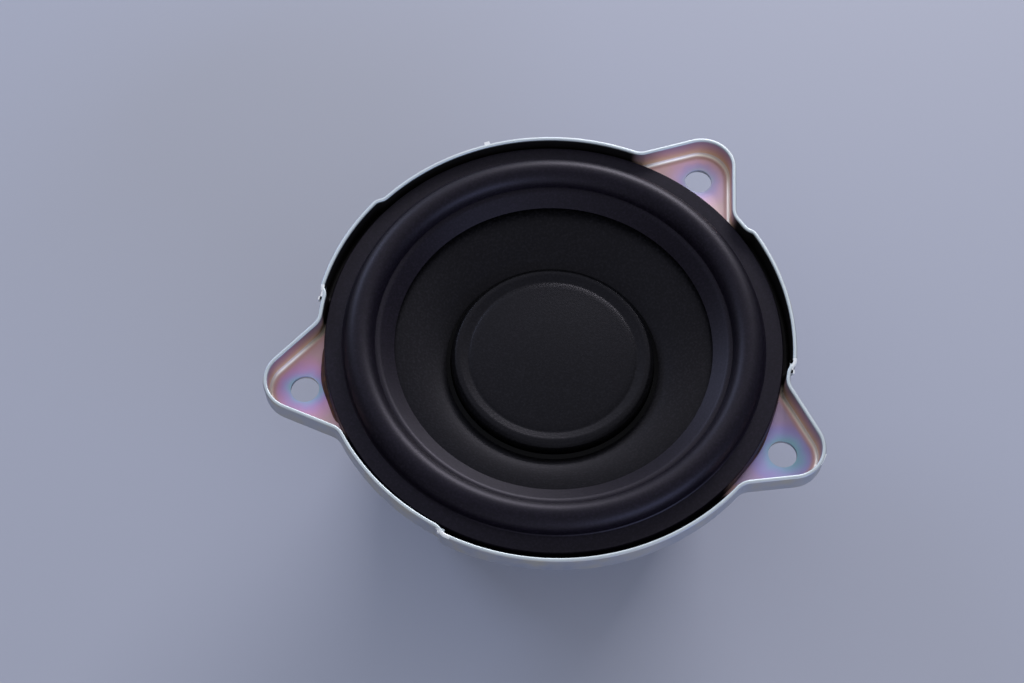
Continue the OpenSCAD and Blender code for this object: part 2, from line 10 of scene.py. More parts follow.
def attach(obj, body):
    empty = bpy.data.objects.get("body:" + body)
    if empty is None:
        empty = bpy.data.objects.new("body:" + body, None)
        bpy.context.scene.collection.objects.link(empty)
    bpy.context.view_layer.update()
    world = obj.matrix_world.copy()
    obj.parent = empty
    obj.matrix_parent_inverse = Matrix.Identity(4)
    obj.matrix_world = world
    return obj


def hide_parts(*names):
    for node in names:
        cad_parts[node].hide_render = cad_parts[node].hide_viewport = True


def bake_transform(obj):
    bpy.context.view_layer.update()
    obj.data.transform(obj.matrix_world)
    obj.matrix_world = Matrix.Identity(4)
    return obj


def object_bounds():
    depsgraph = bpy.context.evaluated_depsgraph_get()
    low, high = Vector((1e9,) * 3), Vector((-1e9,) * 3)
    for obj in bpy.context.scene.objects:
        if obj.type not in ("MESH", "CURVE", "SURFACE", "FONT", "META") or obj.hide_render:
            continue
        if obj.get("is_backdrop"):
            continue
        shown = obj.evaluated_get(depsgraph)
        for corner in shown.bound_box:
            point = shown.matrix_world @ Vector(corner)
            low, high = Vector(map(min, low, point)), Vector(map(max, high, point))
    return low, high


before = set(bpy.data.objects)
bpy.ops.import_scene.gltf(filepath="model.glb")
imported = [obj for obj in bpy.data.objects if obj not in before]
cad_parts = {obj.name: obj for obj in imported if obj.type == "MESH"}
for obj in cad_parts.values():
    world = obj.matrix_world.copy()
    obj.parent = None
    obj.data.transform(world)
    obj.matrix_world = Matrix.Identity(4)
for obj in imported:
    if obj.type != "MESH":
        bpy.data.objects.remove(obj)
cad_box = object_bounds()

# Camera: it looks down on the speaker from the near side, about 35 cm away, through a lens a
# little longer than a standard one. Lengths are given in millimetres all through this file.
mm = 0.001
look_at = Vector((-8.615, 0.871, 43)) * mm
towards_camera = Vector((-0.10599, -0.45909, 0.88204))
camera_distance, camera_roll, lens_mm = 347.97, 1.442, 59.766
bpy.ops.object.camera_add(location=look_at + towards_camera * camera_distance * mm)
camera = bpy.context.object
camera.rotation_mode = "QUATERNION"
camera.rotation_quaternion = ((-towards_camera).to_track_quat("-Z", "Y")
                              @ Quaternion((0, 0, 1), radians(camera_roll)))
camera.data.lens = lens_mm
camera.data.sensor_width = 36
bpy.context.scene.camera = camera
bpy.context.scene.view_settings.view_transform = "Standard"


# Studio: a pale blue-grey board to stand on, a large softbox behind the speaker on the right, a
# smaller bluish one beside it, a long low bluish one in front, and a pale room, which metal sees
# as well.
def linear(hex_colour):
    """An sRGB hex colour as linear red, green, blue and alpha."""
    channels = [int(hex_colour[k:k + 2], 16) / 255 for k in (0, 2, 4)]
    return [c / 12.92 if c <= 0.04045 else ((c + 0.055) / 1.055) ** 2.4 for c in channels] + [1]


def add(tree, kind, inputs=None, stops=(), **settings):
    """Adds a node with its settings. Each input is a value or another node's output, and the
    stops of a colour ramp are pairs of position and hex colour."""
    made = tree.nodes.new("ShaderNode" + kind)
    for setting, value in settings.items():
        setattr(made, setting, value)
    for socket, value in (inputs or {}).items():
        if isinstance(value, bpy.types.NodeSocket):
            tree.links.new(value, made.inputs[socket])
        else:
            made.inputs[socket].default_value = value
    if stops:
        elements = made.color_ramp.elements
        elements[0].position, elements[1].position = stops[0][0], stops[-1][0]
        for position, colour in stops[1:-1]:
            elements.new(position)
        for element, (position, colour) in zip(elements, stops):
            element.color = linear(colour)
    return made


def finish_of(name, colour, **sockets):
    """Starts a finish: its material, its node tree and its shader, with the shader's constants."""
    material = bpy.data.materials.new(name)
    material.use_nodes = True
    shader = material.node_tree.nodes["Principled BSDF"]
    shader.inputs["Base Color"].default_value = linear(colour)
    for socket, value in sockets.items():
        shader.inputs[socket.replace("_", " ")].default_value = value
    return material, material.node_tree, shader


board_w, board_z = 6000, -0.05
bpy.ops.mesh.primitive_plane_add(size=board_w * mm, location=(0, 0, board_z * mm))
board = bpy.context.object
board.name = "studio_board"
board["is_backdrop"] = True
# Matt paint: an even pale blue-grey that keeps the speaker's soft shadow
painted_board, tree, shader = finish_of("painted_board", "abafbc", Roughness=0.6)
board.data.materials.append(painted_board)

softbox_distance = 1200
for name, turn, height, wide, tall, power, tint in (
        ("key_softbox", 60, 22, 600, 280, 9.5, "fbf8ff"),
        ("side_softbox", 118, 25, 450, 220, 3, "cbdaff"),
        ("fill_softbox", 300, 24, 800, 200, 4.4, "bccdff")):
    away = Vector((cos(radians(turn)) * cos(radians(height)),
                   sin(radians(turn)) * cos(radians(height)), sin(radians(height))))
    bpy.ops.object.light_add(type="AREA", location=look_at + away * softbox_distance * mm)
    softbox = bpy.context.object
    softbox.name = name
    softbox.rotation_euler = away.to_track_quat("Z", "Y").to_euler()
    softbox.data.shape = "RECTANGLE"
    softbox.data.size, softbox.data.size_y = wide * mm, tall * mm
    softbox.data.energy = power
    softbox.data.color = linear(tint)[:3]

room = bpy.data.worlds.new("room")
bpy.context.scene.world = room
room.use_nodes = True
tree = room.node_tree
tree.nodes.clear()
rays = add(tree, "LightPath")
seen = add(tree, "Math", {0: rays.outputs["Is Camera Ray"], 1: rays.outputs["Is Glossy Ray"]},
           operation="MAXIMUM")
seen = add(tree, "Math", {0: seen.outputs[0], 1: rays.outputs["Is Transmission Ray"]},
           operation="MAXIMUM")
# The room is pale behind and before the speaker, and darker at its sides
direction = add(tree, "SeparateXYZ", {0: add(tree, "TexCoord").outputs["Generated"]})
along = add(tree, "Math", {0: direction.outputs["Y"], 1: 2}, operation="POWER")
aside = add(tree, "Math", {0: direction.outputs["X"], 1: 2}, operation="POWER")
spread = add(tree, "Math", {0: along.outputs[0], 1: aside.outputs[0]}, operation="SUBTRACT")
fade = add(tree, "MapRange", {"Value": spread.outputs[0], "From Min": -1, "To Min": 0.05,
                              "To Max": 1.1})
glow = add(tree, "Background", {"Color": linear("fbfcff"), "Strength": 0.44})
pale = add(tree, "Background", {"Color": linear("dfe1ee"), "Strength": fade.outputs[0]})
both = add(tree, "MixShader", {0: seen.outputs[0], 1: glow.outputs[0], 2: pale.outputs[0]})
add(tree, "OutputWorld", {"Surface": both.outputs[0]})


# Magnet system: a turned back plate and pole of mild steel, a sintered ferrite ring, and a front
# plate, all held together by two thin films of black adhesive with a bead at their edges.
def dress(material, *names):
    """Gives CAD pieces that keep their shape their finish."""
    for name in names:
        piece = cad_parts[name]
        for place in piece.material_slots:
            place.material = material


def grained(name, size, detail, stops, bump=0, depth=0, **sockets):
    """A finish whose tone runs through its stops with a grain of that size, and which has a relief
    if it has a depth. One stop is an even colour. Size and depth are in millimetres."""
    material, tree, shader = finish_of(name, stops[len(stops) // 2][1], **sockets)
    place = add(tree, "TexCoord").outputs["Object"]
    grain = add(tree, "TexNoise", {"Vector": place, "Scale": 1 / (size * mm), "Detail": detail})
    if len(stops) > 1:
        tone = add(tree, "ValToRGB", {"Fac": grain.outputs["Fac"]}, stops)
        tree.links.new(tone.outputs[0], shader.inputs["Base Color"])
    if depth:
        relief = add(tree, "Bump", {"Height": grain.outputs["Fac"], "Strength": bump,
                                    "Distance": depth * mm})
        tree.links.new(relief.outputs[0], shader.inputs["Normal"])
    return material


def glossed(tree, shader, size, detail, low, high):
    """Lets the roughness wander between low and high over spots of that size in millimetres."""
    place = add(tree, "TexCoord").outputs["Object"]
    cloud = add(tree, "TexNoise", {"Vector": place, "Scale": 1 / (size * mm), "Detail": detail})
    rough = add(tree, "MapRange", {"Value": cloud.outputs["Fac"], "To Min": low, "To Max": high})
    tree.links.new(rough.outputs[0], shader.inputs["Roughness"])


# Zinc plated mild steel, faced on a lathe: a cool grey with fine turning rings
plated_iron, tree, shader = finish_of("zinc_plated_turned_steel", "b4b8ba", Metallic=1)
glossed(tree, shader, size=4, detail=3, low=0.24, high=0.44)
place = add(tree, "TexCoord").outputs["Object"]
feed_mm = 0.35
rings = add(tree, "TexWave", {"Vector": place, "Scale": tau / 20 / (feed_mm * mm),
                              "Distortion": 0.6, "Detail": 2},
            wave_type="RINGS", rings_direction="Z")
relief = add(tree, "Bump", {"Height": rings.outputs["Fac"], "Strength": 0.25,
                            "Distance": 0.01 * mm})
tree.links.new(relief.outputs[0], shader.inputs["Normal"])
dress(plated_iron, "back_plate", "pole_piece", "top_plate", "basket_rivets", "board_rivet")

# Sintered ferrite, ground on its faces: dark grey, dull, with fine pits
ferrite = grained("sintered_ferrite", size=0.3, detail=4, stops=((0, "2c2c2e"), (1, "47474a")),
                  bump=0.4, depth=0.03, Roughness=0.55)
dress(ferrite, "magnet")

# Black structural adhesive, cured to a soft sheen, with shallow swells
black_glue = grained("cured_black_adhesive", size=1.5, detail=2, stops=((0, "070708"),),
                     bump=0.5, depth=0.05, Roughness=0.42, Specular_IOR_Level=0.14)
dress(black_glue, "magnet_glue_back", "magnet_glue_front")


# Basket: one blank of 0.85 mm steel, deep drawn in several strokes and then zinc plated. The
# flange has three ears and a raised lip, which steps between drawn in and wide stretches, and
# six windows are pierced in the bowl's wall. Short stubs are left where the lip was trimmed.
def drawn(name, points, closed=False):
    """Draws a line point by point, given in millimetres, and stays in edit mode."""
    bpy.ops.object.select_all(action="DESELECT")
    bpy.ops.mesh.primitive_plane_add(size=mm)
    line = bpy.context.object
    line.name = line.data.name = name
    bpy.ops.object.mode_set(mode="EDIT")
    bpy.ops.mesh.merge(type="CENTER")
    points = [Vector(point) * mm for point in points]
    bpy.ops.transform.translate(value=points[0])
    for here, there in zip(points, points[1:]):
        bpy.ops.mesh.extrude_vertices_move(TRANSFORM_OT_translate={"value": there - here})
    if closed:
        bpy.ops.mesh.select_all(action="SELECT")
        bpy.ops.mesh.edge_face_add()
    return line


def polar(radius, angle):
    """The point at that radius and angle in degrees, as a complex number."""
    return rect(radius, radians(angle))


def heading(point):
    """The direction of a point from the axis, in degrees."""
    return degrees(phase(point))


def near(angle, other):
    """The same direction as angle, within half a turn of other."""
    return (angle - other + 180) % 360 - 180 + other


def arc(centre, radius, start, end, step):
    """Points along an arc, without its last one."""
    count = max(2, round(abs(end - start) / step))
    return [centre + polar(radius, start + (end - start) * k / count) for k in range(count)]


def straight(start, end, step):
    """Points along a straight line, without its last one."""
    count = max(1, round(abs(end - start) / step))
    return [start + (end - start) * k / count for k in range(count)]


# How close the outline's points lie: in degrees round its arcs, in millimetres on the flanks
ring_step, nose_step, bend_step, flank_step = 0.6, 4, 5, 1
tight_r, wide_r, step_r = 48.55, 49.5, 2.6
step_swing = degrees(acos(((wide_r - step_r) ** 2 + (tight_r + step_r) ** 2 - (2 * step_r) ** 2)
                          / (2 * (wide_r - step_r) * (tight_r + step_r))))
nose_at, nose_r, hollow_r, flank = 52.65, 7.1, 3.5, 35


def lip_step(angle, inwards):
    """The lip's short double bend from a wide to a drawn in stretch, or back."""
    wide_at, tight_at = (angle, angle + step_swing) if inwards else (angle + step_swing, angle)
    outer, inner = polar(wide_r - step_r, wide_at), polar(tight_r + step_r, tight_at)
    if inwards:
        turn = near(heading(inner - outer), wide_at)
        return (arc(outer, step_r, wide_at, turn, nose_step)
                + arc(inner, step_r, turn + 180, tight_at + 180, nose_step))
    turn = near(heading(outer - inner), tight_at)
    return (arc(inner, step_r, tight_at + 180, turn, nose_step)
            + arc(outer, step_r, turn - 180, wide_at, nose_step))


def hollow_centre(ring_r):
    """Centre of the hollow between an ear and the ring, for an ear on the X axis."""
    aside, along = polar(1, 90 - flank), polar(1, 180 - flank)
    foot = nose_at + aside * (nose_r + hollow_r)
    reach = foot.real * along.real + foot.imag * along.imag
    return foot + along * (-reach - sqrt(reach ** 2 - abs(foot) ** 2 + (ring_r + hollow_r) ** 2))


def ear(angle, before_r, after_r):
    """An ear's outline: hollow, flank, nose, flank and hollow."""
    ahead = polar(1, angle)
    first, last = hollow_centre(before_r), hollow_centre(after_r)
    low, high = angle - 90 + flank, angle + 90 - flank
    nose_c = polar(nose_at, angle)
    first_c, last_c = first.conjugate() * ahead, last * ahead
    return (arc(first_c, hollow_r, angle - heading(first) + 180, low + 180, bend_step)
            + straight(first_c - polar(hollow_r, low), nose_c + polar(nose_r, low),
                       flank_step)
            + arc(nose_c, nose_r, low, high, nose_step)
            + straight(nose_c + polar(nose_r, high), last_c - polar(hollow_r, high),
                       flank_step)
            + arc(last_c, hollow_r, high + 180, angle + heading(last) + 180, bend_step))


# What comes on the way round, in degrees: the lip steps in or out, or an ear stands out
ear_turns = (40, 180, 320)
stations = (("in", 17.5), ("ear", ear_turns[0]), ("out", 125.3), ("in", 154.8),
            ("ear", ear_turns[1]), ("out", 228.8), ("ear", ear_turns[2]), ("out", 337.8),
            ("in", 17.5 + 360))
outline, ring_r = [], wide_r
for (kind, turn), (next_kind, next_turn) in zip(stations, stations[1:]):
    if kind == "ear":
        outline += ear(turn, ring_r, tight_r)
        start = turn + heading(hollow_centre(tight_r))
    else:
        outline += lip_step(turn, kind == "in")
        start = turn + step_swing
    ring_r = wide_r if kind == "out" else tight_r
    end = next_turn - (heading(hollow_centre(ring_r)) if next_kind == "ear" else 0)
    outline += arc(0, ring_r, start, end, ring_step)

sheet_t, floor_z, lip_top_z, bend_r, lean, foot_w = 0.85, 40, 45.1, 0.8, 0.05, 0.05
basket = drawn("pressed_basket", [(p.real, p.imag, lip_top_z) for p in outline], closed=True)
if next(iter(bmesh.from_edit_mesh(basket.data).faces)).normal.z > 0:
    bpy.ops.mesh.flip_normals()
bpy.ops.mesh.select_mode(type="FACE")
bpy.ops.mesh.inset(thickness=sheet_t * mm)
bpy.ops.mesh.select_all(action="INVERT")
bpy.ops.mesh.delete(type="FACE")
bpy.ops.mesh.select_all(action="SELECT")
# The lip's inner wall leans a little, and a rounded bend leads down to the flange floor
bpy.ops.mesh.inset(thickness=lean * mm)
bpy.ops.transform.translate(value=(0, 0, (floor_z + bend_r - lip_top_z) * mm))
bend_turn = 15
for turn in range(0, 90, bend_turn):
    now, then = radians(turn), radians(turn + bend_turn)
    bpy.ops.mesh.inset(thickness=(cos(now) - cos(then)) * bend_r * mm)
    bpy.ops.transform.translate(value=(0, 0, (sin(now) - sin(then)) * bend_r * mm))
bpy.ops.mesh.inset(thickness=foot_w * mm)


def unit(step):
    """The same direction with a length of 1."""
    return step / abs(step)


def softened(points, reach, count=6):
    """Rounds the corners of a line of complex numbers, each over that reach to both sides."""
    line = points[:1]
    for before, corner, after in zip(points, points[1:], points[2:]):
        back, on = unit(before - corner) * reach, unit(after - corner) * reach
        line += [corner + back * (1 - k / count) ** 2 + on * (k / count) ** 2
                 for k in range(count + 1)]
    return line + points[-1:]


# From the floor down the bowl's wall, over the spider's ledge and the cup to the bottom, each
# as a radius and a height
ledge_z, cup_z, bowl_corner = 24, 17.85, 1.3
bowl = softened([complex(45.7, floor_z), complex(43.8, floor_z), complex(31, ledge_z),
                 complex(25.6, ledge_z), complex(25.1, cup_z), complex(18.03, cup_z)], bowl_corner)
bpy.ops.mesh.extrude_region_move()
bpy.ops.transform.tosphere(value=1, center_override=(0, 0, floor_z * mm))
disc = next(face for face in bmesh.from_edit_mesh(basket.data).faces if face.select)
ring_now = complex(disc.verts[0].co.xy.length / mm, floor_z)
for k, ring in enumerate(bowl):
    if k:
        bpy.ops.mesh.extrude_region_move()
    scale = ring.real / ring_now.real
    bpy.ops.transform.resize(value=(scale, scale, 1), center_override=(0, 0, 0))
    bpy.ops.transform.translate(value=(0, 0, (ring.imag - ring_now.imag) * mm))
    ring_now = ring
bpy.ops.mesh.delete(type="FACE")
bpy.ops.object.mode_set(mode="OBJECT")


def finished(piece, kind, **settings):
    """Adds a modifier to the piece and applies it."""
    bpy.context.view_layer.objects.active = piece
    modifier = piece.modifiers.new(kind.lower(), kind)
    for setting, value in settings.items():
        setattr(modifier, setting, value)
    bpy.ops.object.modifier_apply(modifier=modifier.name)


finished(basket, "SOLIDIFY", thickness=sheet_t * mm, offset=1, use_even_offset=True,
         use_quality_normals=True)

# The trimmed edge of the lip is slightly rounded
edge_r, edge_band = 0.26, 0.2
bpy.ops.object.mode_set(mode="EDIT")
bpy.ops.mesh.select_mode(type="VERT")
bpy.ops.mesh.select_all(action="DESELECT")
edit = bmesh.from_edit_mesh(basket.data)
for vertex in edit.verts:
    vertex.select = vertex.co.z > (lip_top_z - edge_band) * mm
edit.select_flush(True)
bpy.ops.mesh.region_to_loop()
bpy.ops.mesh.bevel(offset=edge_r * mm, segments=3, affect="EDGES")
bpy.ops.object.mode_set(mode="OBJECT")

# Punches: six windows, three screw holes, four rivet holes and the notch for the terminal board
strut_w, corner_r, window_in_r, window_out_r, half_pitch = 7, 1.6, 33.2, 41.4, 30
wall_step, corner_step = 3, 15
aside = strut_w / 2 + corner_r
high_c = complex(sqrt((window_out_r - corner_r) ** 2 - aside ** 2), -aside) * polar(1, half_pitch)
low_c = complex(sqrt((window_in_r + corner_r) ** 2 - aside ** 2), -aside) * polar(1, half_pitch)
left, right = 90 + half_pitch, 270 - half_pitch
window = (arc(0, window_out_r, -heading(high_c), heading(high_c), wall_step)
          + arc(high_c, corner_r, heading(high_c), left, corner_step)
          + arc(low_c, corner_r, left, heading(low_c) + 180, corner_step)
          + arc(0, window_in_r, heading(low_c), -heading(low_c), wall_step)
          + arc(low_c.conjugate(), corner_r, 180 - heading(low_c), right, corner_step)
          + arc(high_c.conjugate(), corner_r, right, 360 - heading(high_c), corner_step))
window_z, window_h = ledge_z + sheet_t, 20
punches = drawn("punches", [(p.real, p.imag, window_z) for p in window], closed=True)
bpy.ops.mesh.extrude_region_move(TRANSFORM_OT_translate={"value": (0, 0, window_h * mm)})
bpy.ops.mesh.select_all(action="SELECT")
more_windows = 5
bpy.ops.mesh.spin(steps=more_windows, dupli=True, angle=radians(more_windows * 2 * half_pitch),
                  center=(0, 0, 0), axis=(0, 0, 1))
hole_at, hole_r = 51.75, 2.9
rivet_turns, rivet_at, rivet_r = (45, 135, 225, 315), 21.37, 1.53
punch_h, punch_sink = 3, 0.4
for turns, at, radius, face_z, sides in ((ear_turns, hole_at, hole_r, floor_z, 72),
                                         (rivet_turns, rivet_at, rivet_r, cup_z, 48)):
    for turn in turns:
        spot = polar(at, turn) * mm
        bpy.ops.mesh.primitive_cylinder_add(
            vertices=sides, radius=radius * mm, depth=punch_h * mm,
            location=(spot.real, spot.imag, (face_z - punch_sink) * mm))
notch_at, notch_z, notch_size = 34.15, 25.6, (6.5, 18, 3.2)
bpy.ops.mesh.primitive_cube_add(size=mm, location=(notch_at * mm, 0, notch_z * mm),
                                scale=notch_size)
bpy.ops.mesh.select_all(action="SELECT")
bpy.ops.mesh.normals_make_consistent(inside=False)
bpy.ops.object.mode_set(mode="OBJECT")
finished(basket, "BOOLEAN", object=punches, operation="DIFFERENCE", solver="MANIFOLD")
bpy.data.objects.remove(punches)

# The tongue that carries the terminal board, and the stubs on the lip's edge: each stub is a
# block that reaches half way into the lip, and the wide ones are torn hollow between two teeth
tongue_at, tongue_size = 33, (8, 5.6, sheet_t)
bpy.ops.object.select_all(action="DESELECT")
bpy.ops.mesh.primitive_cube_add(size=mm, scale=tongue_size,
                                location=(tongue_at * mm, 0, (ledge_z - sheet_t / 2) * mm))
left_on = bpy.context.object
bpy.ops.object.transform_apply(location=True, scale=True)
bpy.ops.object.mode_set(mode="EDIT")
root, stub_h, stub_z, tooth_w, torn_out, torn_from_w = sheet_t / 2, 0.84, 44.62, 0.8, 0.3, 2
# Direction, the lip's radius there, width and how far it stands out
stubs = ((95, tight_r, 1.2, 0.6), (157.5, tight_r, 3.2, 0.6), (231, tight_r, 1.2, 0.6),
         (339.5, tight_r, 3, 0.6), (321, 59.55, 1.3, 0.12))
for turn, at, width, out in stubs:
    tooth_at = (width - tooth_w) / 2
    blocks = ((0, width, out),) if width < torn_from_w else (
        (0, width, torn_out), (-tooth_at, tooth_w, out), (tooth_at, tooth_w, out))
    for across, wide, proud in blocks:
        middle = complex(at + (proud - root) / 2, across) * polar(1, turn) * mm
        bpy.ops.mesh.primitive_cube_add(
            size=mm, location=(middle.real, middle.imag, stub_z * mm),
            rotation=(0, 0, radians(turn)), scale=(root + proud, wide, stub_h))
bpy.ops.object.mode_set(mode="OBJECT")
finished(basket, "BOOLEAN", object=left_on, operation="UNION", solver="MANIFOLD")
bpy.data.objects.remove(left_on)
bpy.ops.object.select_all(action="DESELECT")
basket.select_set(True)
bpy.ops.object.shade_smooth_by_angle(angle=radians(35))
finished(basket, "WEIGHTED_NORMAL", mode="FACE_AREA", weight=80, keep_sharp=True)
basket.data.materials.clear()

# Zinc plating under a thin passivation film: a soft silver sheen that turns blue, lilac and rose
# round the screw holes, and straw and brown up its inner wall, with a painted cream highlight in the
# bend at the lip's foot and painted shade beside the rubber
zinc, tree, shader = finish_of("passivated_zinc_plating", "b9bdbd", Metallic=0.7)
place = add(tree, "TexCoord").outputs["Object"]
drift = add(tree, "TexNoise", {"Vector": place, "Scale": 1 / (5 * mm), "Detail": 2})
# Where each film starts and ends, in millimetres: the floor's round the middle of a screw hole,
# the two other ears' from the X axis, and the wall's and the painted shade's in the gap from the
# middle of a nose
film_wander, film_from, film_to = 3, 4.2, 9.4
side_from, side_to = 10, 28
wall_from, wall_to, dark_from, dark_to = 4.5, 5.5, 6.35, 7.5
hole_gaps, nose_gaps = [], []
ear_from_x, clear_of_ears = 42, 100
for turn in ear_turns:
    # Seen with each ear turned on the X axis, in millimetres
    local = add(tree, "VectorRotate", {"Vector": place, "Axis": (0, 0, 1), "Angle": radians(-turn)})
    local = add(tree, "VectorMath", {0: local.outputs[0], 1: (1 / mm, 1 / mm, 0)},
                operation="MULTIPLY").outputs[0]
    hole_gaps.append(add(tree, "VectorMath", {0: local, 1: (hole_at, 0, 0)},
                         operation="DISTANCE").outputs["Value"])
    split = add(tree, "SeparateXYZ", {0: local})
    ahead = add(tree, "Math", {0: split.outputs["X"], 1: nose_at}, operation="SUBTRACT")
    aside = add(tree, "Math", {0: split.outputs["Y"]}, operation="ABSOLUTE")
    # Square to the flank's line, and round the nose's centre where that is nearer
    along = add(tree, "Math", {0: ahead.outputs[0], 1: sin(radians(flank))}, operation="MULTIPLY")
    square = add(tree, "Math", {0: aside.outputs[0], 1: cos(radians(flank)), 2: along.outputs[0]},
                 operation="MULTIPLY_ADD")
    forward = add(tree, "Math", {0: ahead.outputs[0], 1: aside.outputs[0]},
                  operation="GREATER_THAN")
    radial = add(tree, "VectorMath", {0: local, 1: (nose_at, 0, 0)}, operation="DISTANCE")
    gap = add(tree, "Mix", {0: forward.outputs[0], 2: square.outputs[0],
                            3: radial.outputs["Value"]}, data_type="FLOAT")
    # Past the ear the gap is simply large
    past = add(tree, "Math", {0: split.outputs["X"], 1: ear_from_x}, operation="LESS_THAN")
    nose_gaps.append(add(tree, "Math", {0: past.outputs[0], 1: clear_of_ears, 2: gap.outputs[0]},
                         operation="MULTIPLY_ADD").outputs[0])
nearest = []
for one, two, three in (hole_gaps, nose_gaps):
    pair = add(tree, "Math", {0: one, 1: two}, operation="MINIMUM")
    least = add(tree, "Math", {0: pair.outputs[0], 1: three}, operation="MINIMUM")
    nearest.append(least.outputs[0])
hole_gap, nose_gap = nearest
wander = add(tree, "Math", {0: drift.outputs["Fac"], 1: film_wander, 2: hole_gap},
             operation="MULTIPLY_ADD")
span = add(tree, "MapRange", {"Value": wander.outputs[0], "From Min": film_from,
                              "From Max": film_to})
height = add(tree, "SeparateXYZ", {0: place})
floor_tone = add(tree, "ValToRGB", {"Fac": span.outputs[0]}, (
    (0, "a6c8da"), (0.12, "b4bfe4"), (0.27, "c6b0e0"), (0.45, "d6acd6"), (0.7, "dcb0c8"),
    (1, "d8b8bc"))).outputs[0]
# The ear on the +Y side is painted the palest: its film is the thinnest, and its paler colour also
# stands in for the brighter light its floor mirrors. The one on the -Y side has the thickest film
# and turns to violet and blue
for side, stops in (
        (1, ((0, "dbe2f8"), (0.14, "dfd6fb"), (0.3, "ecd6fa"), (0.45, "fbdcf4"), (0.7, "ffdde7"),
             (1, "ffe3df"))),
        (-1, ((0, "98c3d0"), (0.2, "a3bcdc"), (0.4, "b0b0de"), (0.6, "b2a8dc"), (0.85, "bea9d0"),
              (1, "bfadcc")))):
    that_ear = add(tree, "MapRange", {"Value": height.outputs["Y"],
                                      "From Min": side * side_from * mm,
                                      "From Max": side * side_to * mm})
    ear_tone = add(tree, "ValToRGB", {"Fac": span.outputs[0]}, stops)
    floor_tone = add(tree, "Mix", {0: that_ear.outputs[0], 6: floor_tone, 7: ear_tone.outputs[0]},
                     data_type="RGBA").outputs[2]
climb = add(tree, "MapRange", {"Value": height.outputs["Z"], "From Min": floor_z * mm,
                               "From Max": lip_top_z * mm})
# Up the inner wall: the near white cream just above the floor is a painted highlight on the bend at
# the lip's foot; the other stops are the film's colours
wall_film_and_light = add(tree, "ValToRGB", {"Fac": climb.outputs[0]}, (
    (0, "d8b4b0"), (0.03, "fff5de"), (0.13, "fffdf2"), (0.2, "efd5ae"), (0.5, "d8b3a6"),
    (0.9, "b99cae"), (0.97, "c6d0d2"))).outputs[0]
# Painted shade and reflection: in the narrow gap beside the rubber the wall is painted near black,
# for the shade there and the black rubber it mirrors
painted_gap_shade = add(tree, "ValToRGB", {"Fac": climb.outputs[0]}, (
    (0, "1c1a1a"), (0.9, "2b2828"), (0.97, "c6d0d2"))).outputs[0]
beside_rubber = add(tree, "MapRange", {"Value": nose_gap, "From Min": dark_from,
                                       "From Max": dark_to},
                    interpolation_type="SMOOTHSTEP")
wall_film_and_light = add(tree, "Mix", {0: beside_rubber.outputs[0], 6: wall_film_and_light, 7: painted_gap_shade},
                data_type="RGBA").outputs[2]
near_lip = add(tree, "MapRange", {"Value": nose_gap, "From Min": wall_from, "From Max": wall_to},
               interpolation_type="SMOOTHSTEP")
inside = add(tree, "Mix", {0: near_lip.outputs[0], 6: floor_tone, 7: wall_film_and_light}, data_type="RGBA")
# The outer side and the bowl keep the plain silver: the normal tells inner faces from outer ones
facing = add(tree, "TexCoord").outputs["Normal"]
outwards = add(tree, "VectorMath", {0: place, 1: (1, 1, 0)}, operation="MULTIPLY")
outwards = add(tree, "VectorMath", {0: outwards.outputs[0]}, operation="NORMALIZE")
outer = add(tree, "VectorMath", {0: facing, 1: outwards.outputs[0]}, operation="DOT_PRODUCT")
outer = add(tree, "MapRange", {"Value": outer.outputs["Value"], "From Min": 0.2, "From Max": 0.6})
under = add(tree, "MapRange", {"Value": height.outputs["Z"], "From Min": (floor_z - 0.1) * mm,
                               "From Max": (floor_z - 0.6) * mm})
silver = add(tree, "Math", {0: outer.outputs[0], 1: under.outputs[0]}, operation="MAXIMUM")
plain = add(tree, "ValToRGB", {"Fac": drift.outputs["Fac"]}, (
    (0.3, "a3a9b6"), (0.5, "afb1b6"), (0.7, "b7b4aa")))
tone = add(tree, "Mix", {0: silver.outputs[0], 6: inside.outputs[2], 7: plain.outputs[0]},
           data_type="RGBA")
tree.links.new(tone.outputs[2], shader.inputs["Base Color"])
rough = add(tree, "MapRange", {"Value": drift.outputs["Fac"], "To Min": 0.42, "To Max": 0.56})
tree.links.new(rough.outputs[0], shader.inputs["Roughness"])
grain = add(tree, "TexNoise", {"Vector": place, "Scale": 1 / (0.3 * mm), "Detail": 3})
relief = add(tree, "Bump", {"Height": grain.outputs["Fac"], "Strength": 0.15,
                            "Distance": 0.01 * mm})
tree.links.new(relief.outputs[0], shader.inputs["Normal"])
basket.data.materials.append(zinc)

# Bare steel where the stubs tore off the blank, painted nearly white as a painted glint as well, and
# uneven in its gloss
torn_steel_and_glint, tree, shader = finish_of("torn_bright_steel", "eff2f2", Metallic=0.3)
glossed(tree, shader, size=0.2, detail=2, low=0.25, high=0.5)
basket.data.materials.append(torn_steel_and_glint)
stub_low_z, stub_reach, lip_clear = lip_top_z - 0.95, 2, 0.03
for face in basket.data.polygons:
    middle = complex(face.center.x, face.center.y) / mm
    if face.center.z > stub_low_z * mm:
        for turn, at, *_ in stubs:
            gap = abs(middle * polar(1, -turn) - at - torn_out)
            if gap < stub_reach and abs(middle) > at + lip_clear:
                face.material_index = 1
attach(basket, "frame")
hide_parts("basket")


# Terminals: a stamped board of phenolic laminate with two tinned brass blades, riveted on the
# basket's tongue. Both leads are soldered on the blades' inner ends.

# Laminate of paper and phenolic resin: dull brown, with its fibres showing faintly
phenolic = grained("phenolic_laminate", size=0.4, detail=4,
                   stops=((0, "3d2010"), (1, "5a361f")), Roughness=0.45)
dress(phenolic, "terminal_board")

